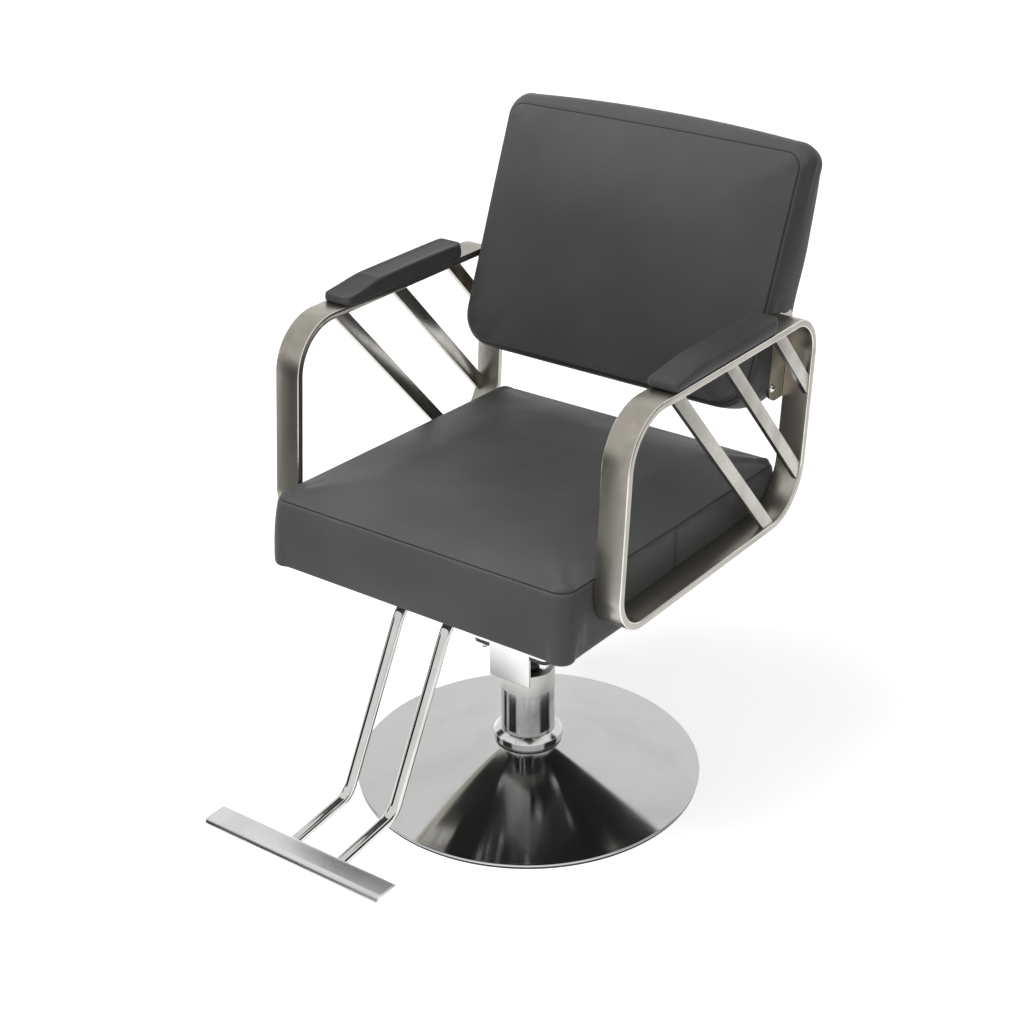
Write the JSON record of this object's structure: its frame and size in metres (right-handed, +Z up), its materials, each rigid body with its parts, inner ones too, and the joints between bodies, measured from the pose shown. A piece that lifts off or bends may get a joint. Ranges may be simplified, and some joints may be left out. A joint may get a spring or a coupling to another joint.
{
  "type": "hairdressing chair",
  "caption": "Upholstered salon chair with looped metal arms on a swivelling hydraulic column, with a round base, a footrest and a pump pedal.",
  "frame": {"origin": "on the floor, on the axis of the column", "axes": "+Z up along the column, -Y the way the chair faces, +X to the right of a viewer who stands in front of the chair and faces it"},
  "size_m": [0.562, 0.8584, 0.9025],
  "materials": {
    "rubber": "matt",
    "steel": "plain",
    "iron": "rough",
    "chrome": "mirror",
    "satin": "satin",
    "zinc": "plated",
    "bronze": "satin",
    "white_paint": "satin",
    "black_paint": "satin",
    "stainless": "brushed",
    "alu": "satin",
    "ply": "raw",
    "black_plastic": "matt",
    "grey_leather": "soft sheen"
  },
  "bodies": {
    "base": {"floor_trim": "rubber", "floor_plate": "steel", "ballast": "iron", "base_dish": "chrome", "neck_ring": "chrome", "collar": "chrome", "collar_screw": "black_paint", "pump_body": "iron", "foot_bolts": "zinc", "guide_bush": "bronze", "column_shell": "chrome", "column_cap": "satin", "wiper_seal": "rubber", "lever_bracket": "black_paint", "lever_pin": "zinc", "plunger_spring": "steel"},
    "pedal": {"pump_lever": "chrome", "pedal_pad": "rubber"},
    "plunger": {"pump_plunger": "steel"},
    "lift": {"ram": "chrome", "ram_piston": "bronze", "piston_seal": "rubber", "thrust_collar": "steel", "thrust_washer": "bronze", "top_washer": "zinc", "top_screw": "zinc"},
    "seat": {"swivel_hub": "steel", "hub_plate": "black_paint", "pedestal": "white_paint", "front_plate": "white_paint", "flange_bolts": "zinc", "mount_plate": "black_paint", "mount_bolts": "zinc", "seat_board": "ply", "seat_cushion": "grey_leather", "foot_tube_l": "chrome", "foot_tube_r": "chrome", "tube_clamps": "black_paint", "clamp_bolts": "zinc", "foot_bar": "alu", "bar_caps": "alu", "foot_screws": "zinc", "tube_plugs": "black_plastic", "arm_loop_l": "stainless", "arm_loop_r": "stainless", "arm_slats_l": "stainless", "arm_slats_r": "stainless", "arm_tabs": "stainless", "arm_bolts": "zinc", "pad_boards": "ply", "pad_screws": "zinc", "arm_pad_l": "grey_leather", "arm_pad_r": "grey_leather", "back_bracket_l": "stainless", "back_bracket_r": "stainless", "bracket_bolts": "chrome", "back_frame": "ply", "back_cover": "grey_leather", "back_cushion": "grey_leather"}
  },
  "joints": [
    {"name": "pedal_press", "type": "hinge", "parent": "base", "child": "pedal", "pos_m": [-0.03468, 0.04773, 0.098], "axis": [-0.809, -0.5878, 0], "range_deg": [0, 20], "stiffness_Nm_per_rad": 3, "springref_deg": -17.19},
    {"name": "plunger_stroke", "type": "slide", "parent": "base", "child": "plunger", "axis": [0, 0, 1], "range_m": [0, 0.0105], "deforming": ["plunger_spring"]},
    {"name": "seat_lift", "type": "slide", "parent": "base", "child": "lift", "axis": [0, 0, 1], "range_m": [0, 0.1]},
    {"name": "seat_swivel", "type": "hinge", "parent": "lift", "child": "seat", "pos_m": [0, 0, 0.1865], "axis": [0, 0, 1], "continuous": true}
  ],
  "couplings": [
    {"joint": "plunger_stroke", "follows": "pedal_press", "m_per_rad": 0.029848}
  ]
}
